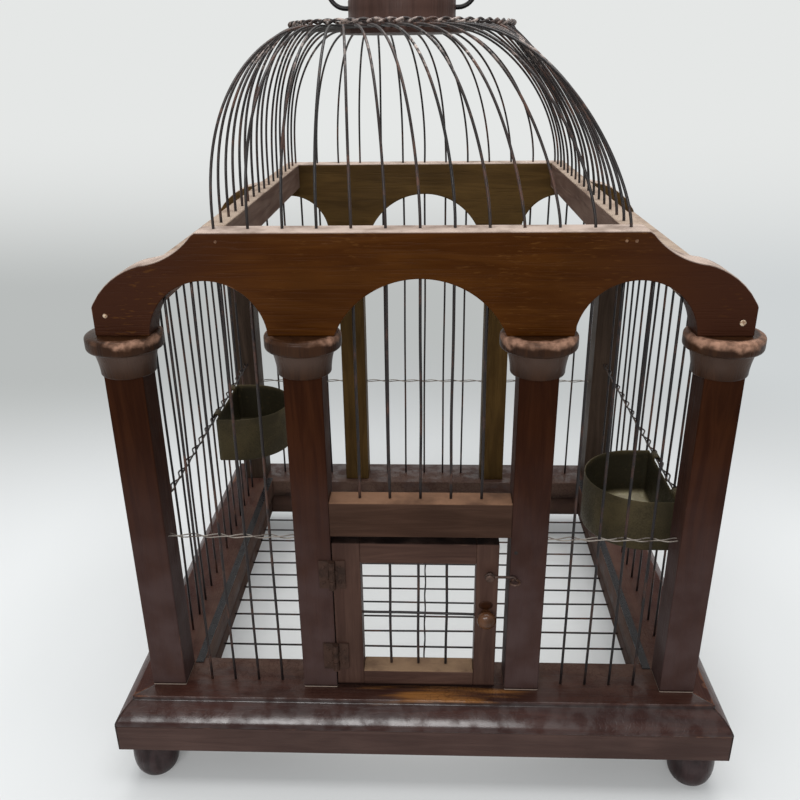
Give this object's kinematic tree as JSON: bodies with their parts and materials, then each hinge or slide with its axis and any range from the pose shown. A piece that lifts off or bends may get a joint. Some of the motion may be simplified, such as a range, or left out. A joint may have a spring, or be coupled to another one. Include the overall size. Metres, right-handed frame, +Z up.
{
  "type": "bird cage",
  "caption": "Wooden bird cage with an arcade of columns and arches, wire walls, a wire dome with a turned hub and bail, a hinged wire door and hook-on feeder cups.",
  "frame": {"origin": "on the table under the centre of the base", "axes": "+X to the cage's right seen from the front, +Y to its back, +Z up; the door is on the -Y side"},
  "size_m": [0.394, 0.3556, 0.5415],
  "materials": {
    "turned_wood": "worn satin varnish",
    "base_wood": "worn satin varnish",
    "moulding_wood": "glossy crackled varnish",
    "front_wood": "satin varnish, worn edges",
    "door_wood": "satin varnish, worn edges",
    "back_wood": "dull aged varnish",
    "rail_wood": "dusty, nearly raw",
    "knob_wood": "worn varnish",
    "cage_wire": "dark aged steel wire",
    "bail_wire": "black steel wire",
    "old_brass": "dark tarnished brass",
    "cup_metal": "dull olive bronze sheet",
    "strip_metal": "dull steel strip"
  },
  "bodies": {
    "cage": {"back_arch_board": "back_wood", "back_corner_column_left": "back_wood", "back_corner_column_right": "back_wood", "back_inner_column_left": "back_wood", "back_inner_column_right": "back_wood", "back_tie_wires": "cage_wire", "back_wires": "cage_wire", "ball_feet": "turned_wood", "base_fascia_back": "base_wood", "base_fascia_front": "base_wood", "base_fascia_left": "base_wood", "base_fascia_right": "base_wood", "base_moulding_back": "moulding_wood", "base_moulding_front": "moulding_wood", "base_moulding_left": "moulding_wood", "base_moulding_right": "moulding_wood", "capitals": "turned_wood", "dome_ring": "cage_wire", "dome_wires_back": "cage_wire", "dome_wires_front": "cage_wire", "dome_wires_left": "cage_wire", "dome_wires_right": "cage_wire", "door_header": "front_wood", "eave_rail_left": "rail_wood", "eave_rail_right": "rail_wood", "floor_strips": "strip_metal", "floor_wires": "cage_wire", "front_arch_board": "front_wood", "front_corner_column_left": "front_wood", "front_corner_column_right": "front_wood", "front_inner_column_left": "front_wood", "front_inner_column_right": "front_wood", "front_tie_wires": "cage_wire", "front_wires": "cage_wire", "hinge_leaves_column": "old_brass", "hinge_pins": "old_brass", "hub": "turned_wood", "latch_eye": "old_brass", "left_roof_wires": "cage_wire", "left_wall_wires": "cage_wire", "right_roof_wires": "cage_wire", "right_wall_wires": "cage_wire", "side_tie_wires": "cage_wire", "top_rail_left": "rail_wood", "top_rail_right": "rail_wood"},
    "door": {"door_hinge_stile": "door_wood", "door_latch_stile": "door_wood", "door_bottom_rail": "door_wood", "door_top_rail": "door_wood", "door_wires": "cage_wire", "door_knob": "knob_wood", "hinge_leaves_door": "old_brass", "hook_pivot_screw": "old_brass"},
    "hook": {"latch_hook": "old_brass"},
    "bail": {"bail_handle": "bail_wire"},
    "left_cup": {"left_cup": "cup_metal"},
    "right_cup": {"right_cup": "cup_metal"}
  },
  "joints": [
    {"name": "door_swing", "type": "hinge", "parent": "cage", "child": "door", "pos_m": [-0.0539, -0.15885, 0.123], "axis": [0, 0, -1], "range_deg": [0, 150]},
    {"name": "hook_turn", "type": "hinge", "parent": "door", "child": "hook", "pos_m": [0.0419, -0.1602, 0.1565], "axis": [0, -1, 0], "range_deg": [-6, 110]},
    {"name": "bail_swing", "type": "hinge", "parent": "cage", "child": "bail", "pos_m": [-0.0133, 0, 0.4735], "axis": [1, 0, 0], "range_deg": [-90, 90]},
    {"name": "left_cup_lift", "type": "slide", "parent": "cage", "child": "left_cup", "axis": [0, 0, 1], "range_m": [0, 0.04]},
    {"name": "right_cup_lift", "type": "slide", "parent": "cage", "child": "right_cup", "axis": [0, 0, 1], "range_m": [0, 0.04]}
  ]
}
